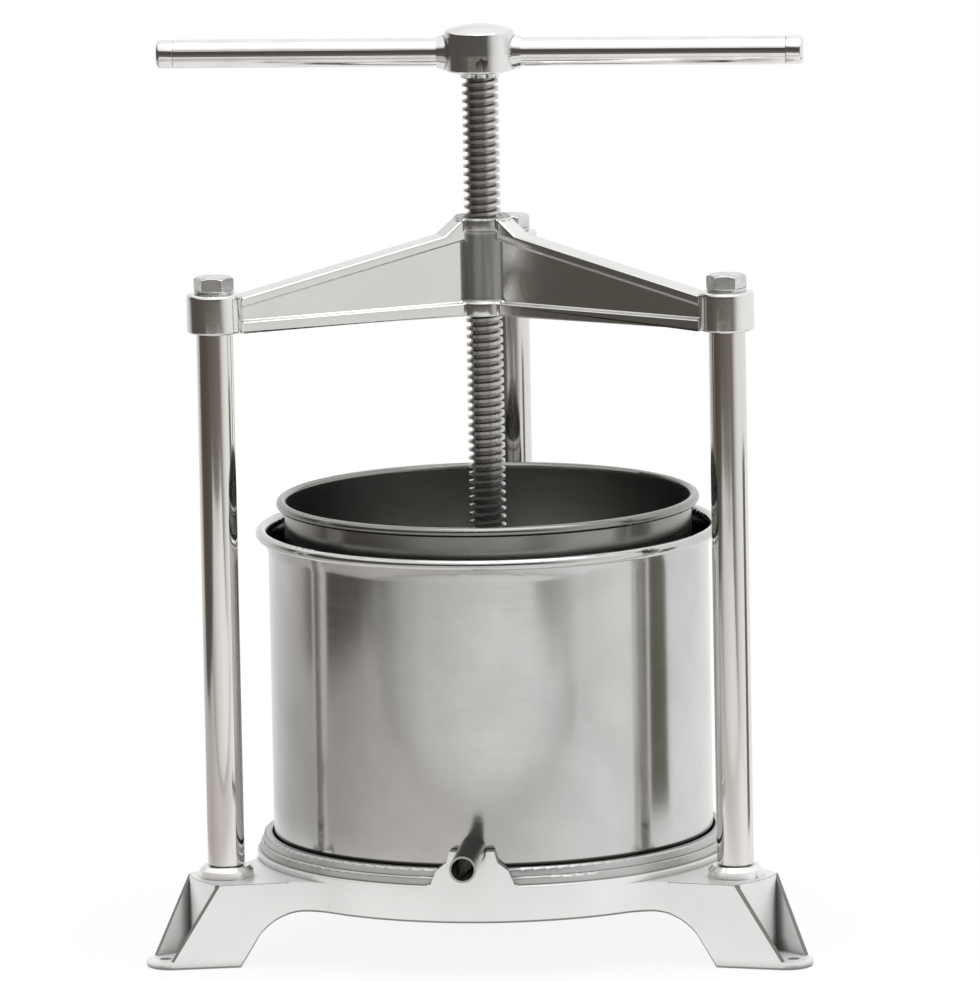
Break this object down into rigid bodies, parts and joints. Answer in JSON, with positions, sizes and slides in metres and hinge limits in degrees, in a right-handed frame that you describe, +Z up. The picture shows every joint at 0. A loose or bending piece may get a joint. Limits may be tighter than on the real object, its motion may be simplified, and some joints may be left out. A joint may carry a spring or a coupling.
{
  "type": "fruit press",
  "caption": "Hand fruit press: three-legged cast base, round columns, cast yoke, threaded spindle with T-handle, press plate, juice bucket with spout and inner basket.",
  "frame": {"origin": "on the spindle's axis, at the level of the feet", "axes": "+Z up along the spindle, -Y to the spout side, +X to the right as seen from the spout side"},
  "size_m": [0.3256, 0.348, 0.4505],
  "materials": {
    "cast_aluminium": "polished casting",
    "column_chrome": "polished",
    "zinc_steel": "plated",
    "plate_aluminium": "satin",
    "screw_steel": "turned",
    "polished_hub": "polished casting",
    "handle_chrome": "polished",
    "stainless_sheet": "satin, turned",
    "stainless_tube": "polished tube",
    "basket_stainless": "satin"
  },
  "bodies": {
    "frame": {"base_casting": "cast_aluminium", "column_rear": "column_chrome", "column_front_left": "column_chrome", "column_front_right": "column_chrome", "yoke": "cast_aluminium", "yoke_bolts": "zinc_steel", "yoke_washers": "zinc_steel", "base_bolts": "zinc_steel", "base_washers": "zinc_steel"},
    "press": {"press_plate": "plate_aluminium", "plate_socket": "zinc_steel", "plate_keeper": "zinc_steel", "plate_screws": "zinc_steel"},
    "spindle": {"screw": "screw_steel", "handle_hub": "polished_hub", "hub_set_screw": "screw_steel", "handle_bar_left": "handle_chrome", "handle_bar_right": "handle_chrome", "handle_end_left": "handle_chrome", "handle_end_right": "handle_chrome"},
    "bucket": {"bucket": "stainless_sheet", "bucket_floor": "stainless_sheet", "bucket_rim": "stainless_sheet", "bucket_spout": "stainless_tube"},
    "basket": {"basket": "basket_stainless", "basket_floor": "basket_stainless", "basket_rim": "basket_stainless"}
  },
  "joints": [
    {"name": "plate_travel", "type": "slide", "parent": "frame", "child": "press", "axis": [0, 0, 1], "range_m": [-0.066, 0.14]},
    {"name": "screw_turn", "type": "hinge", "parent": "press", "child": "spindle", "pos_m": [0, 0, 0.16], "axis": [0, 0, 1], "range_deg": [-5939, 12599]},
    {"name": "bucket_lift", "type": "slide", "parent": "frame", "child": "bucket", "axis": [0, 0, 1], "range_m": [0, 0.006]},
    {"name": "basket_lift", "type": "slide", "parent": "bucket", "child": "basket", "axis": [0, 0, 1], "range_m": [0, 0.008]}
  ],
  "couplings": [
    {"joint": "plate_travel", "follows": "screw_turn", "m_per_rad": 0.00063662}
  ]
}
